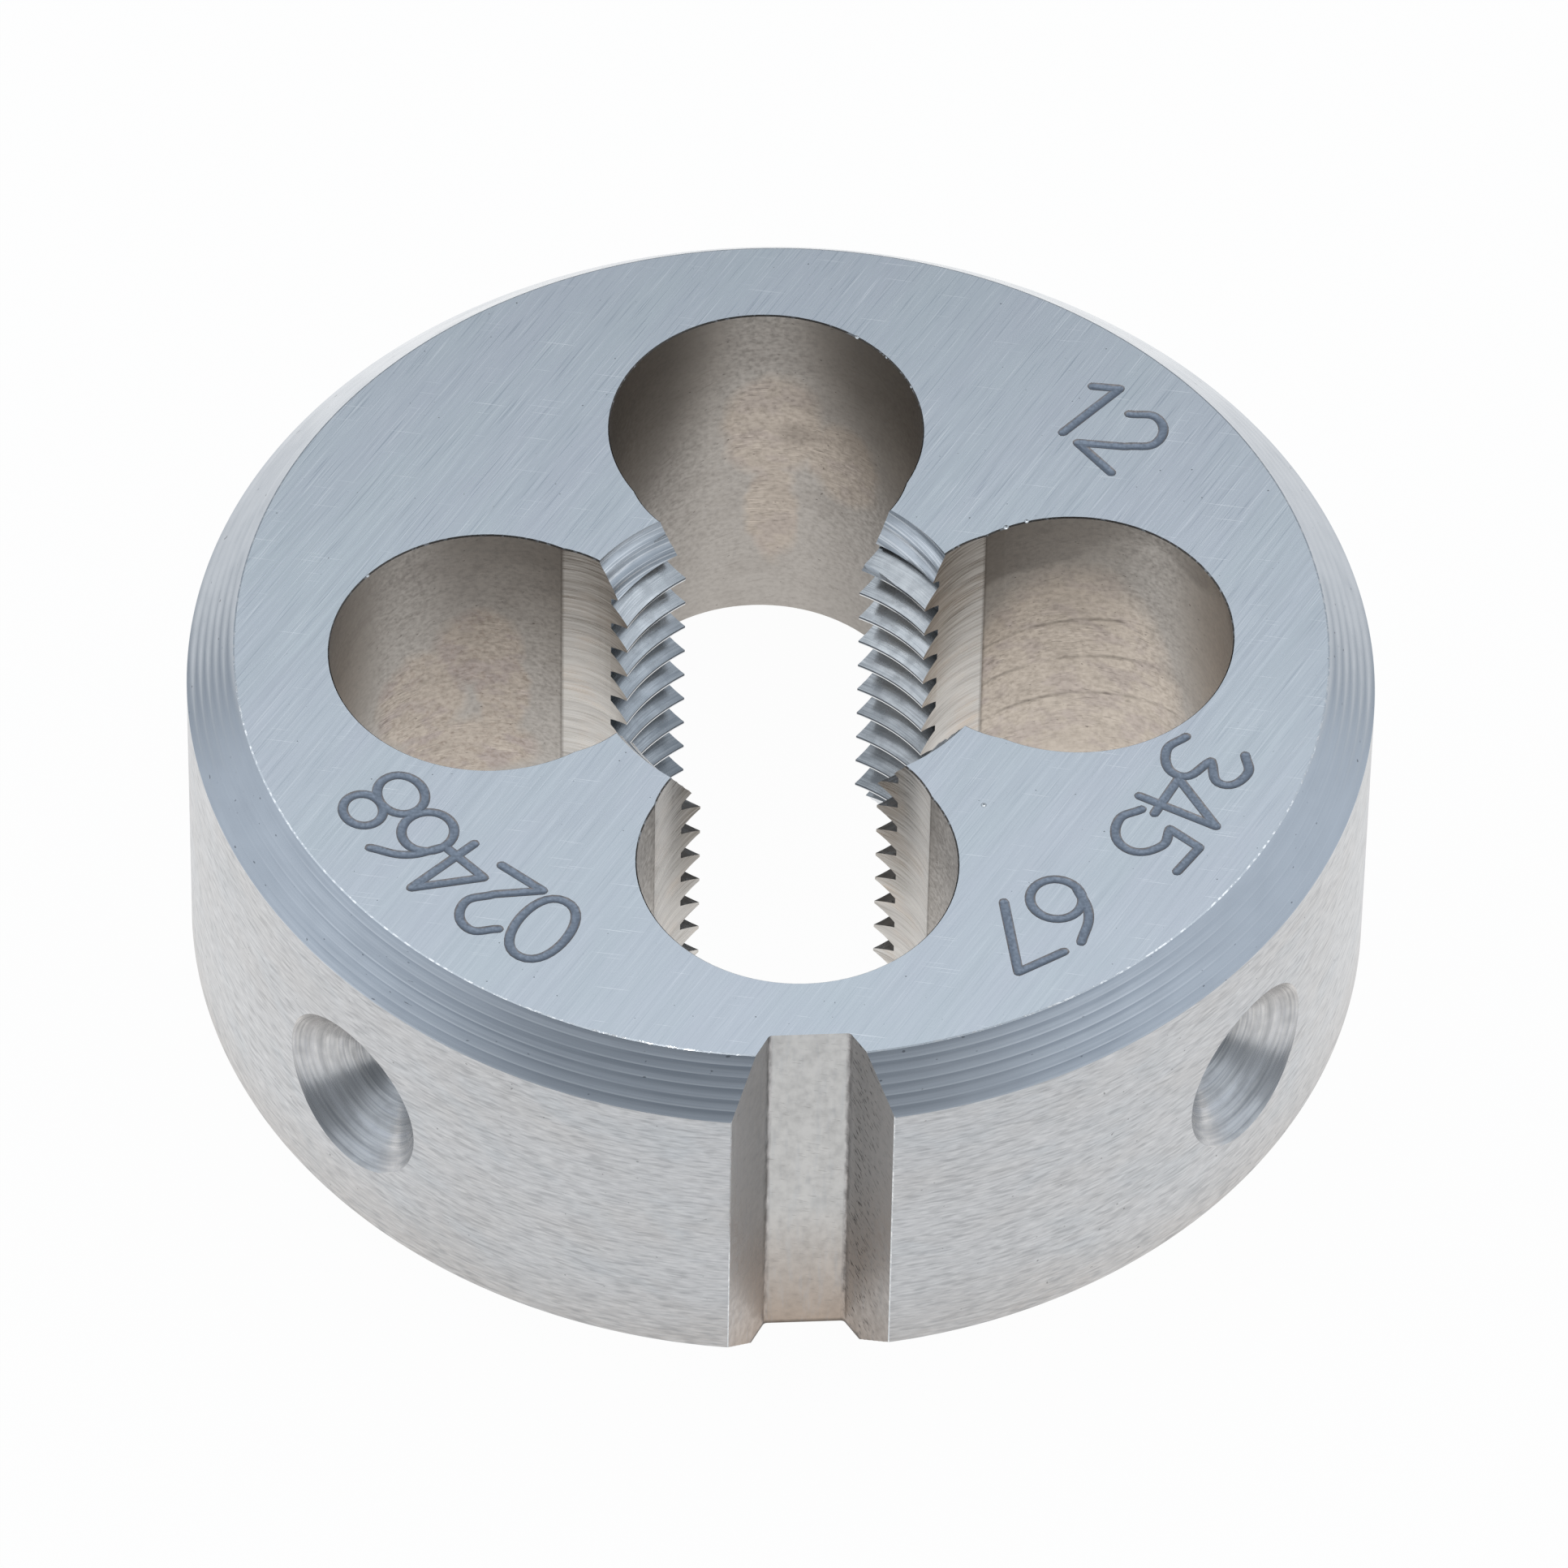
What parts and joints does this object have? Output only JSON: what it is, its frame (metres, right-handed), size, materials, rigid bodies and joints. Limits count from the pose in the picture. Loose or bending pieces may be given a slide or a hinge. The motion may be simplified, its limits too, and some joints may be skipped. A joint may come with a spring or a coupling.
{
  "type": "threading die",
  "caption": "Round steel die that cuts a left-hand thread on a rod, with chip holes around its toothed bore, and a V slot and conical dimples in the rim for a die stock's screws.",
  "frame": {"origin": "on the die's axis, at the bottom face", "axes": "+Z along the die's axis towards the face that the work enters first, -Y towards the adjusting slot"},
  "size_m": [0.03, 0.0299, 0.011],
  "materials": {
    "tool_steel": "ground and turned tool steel, with drilled and hook-ground chip holes"
  },
  "bodies": {
    "root": {"threading_die": "tool_steel"}
  },
  "joints": []
}
